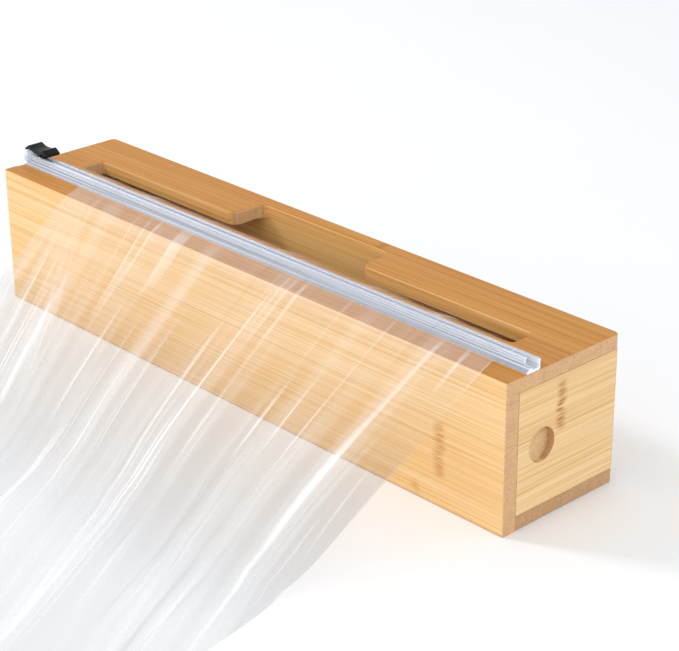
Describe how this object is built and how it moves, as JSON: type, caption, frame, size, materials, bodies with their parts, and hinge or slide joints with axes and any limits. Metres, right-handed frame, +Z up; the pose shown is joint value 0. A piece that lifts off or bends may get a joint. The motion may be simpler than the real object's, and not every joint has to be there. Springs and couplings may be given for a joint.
{
  "type": "cling film dispenser",
  "caption": "Rectangular bamboo box that stores and dispenses a roll of cling film through a slotted lid, with a sliding cutter on a clear track and a sliding end door.",
  "frame": {"origin": "middle of the underside of the box, on the surface it stands on", "axes": "+X along the box towards its sliding end door, +Y from the front to the rear, +Z up"},
  "size_m": [0.36, 0.298, 0.0841],
  "materials": {
    "bamboo_front": "fine straight grain, satin",
    "bamboo_side": "fine straight grain, satin",
    "bamboo_top": "darker straight grain, satin",
    "bamboo_door": "fine straight grain, satin",
    "mounting_tape": "thin foam tape",
    "clear_plastic": "clear, glossy extrusion",
    "black_plastic": "glossy moulded",
    "blade_steel": "ground edge",
    "cardboard": "spiral-wound paper tube",
    "wound_film": "tightly wound clear film",
    "cling_film": "very thin clear film"
  },
  "bodies": {
    "case": {"front_panel": "bamboo_front", "back_panel": "bamboo_side", "top_plate": "bamboo_top", "bottom_plate": "bamboo_top", "left_end_panel": "bamboo_side", "track_tape": "mounting_tape", "cutter_track": "clear_plastic", "track_end_stop": "clear_plastic", "film_web": "cling_film", "film_sheet": "cling_film"},
    "door": {"end_door": "bamboo_door"},
    "cutter": {"cutter_foot": "black_plastic", "cutter_cap": "black_plastic", "cutter_blade": "blade_steel"},
    "roll": {"roll_core": "cardboard", "film_roll": "wound_film"}
  },
  "joints": [
    {"name": "cutter_slide", "type": "slide", "parent": "case", "child": "cutter", "axis": [1, 0, 0], "range_m": [0, 0.338]},
    {"name": "door_slide", "type": "slide", "parent": "case", "child": "door", "axis": [0, 1, 0], "range_m": [0, 0.057]},
    {"name": "roll_spin", "type": "hinge", "parent": "case", "child": "roll", "pos_m": [0, -0.0082, 0.0273], "axis": [1, 0, 0], "continuous": true}
  ]
}
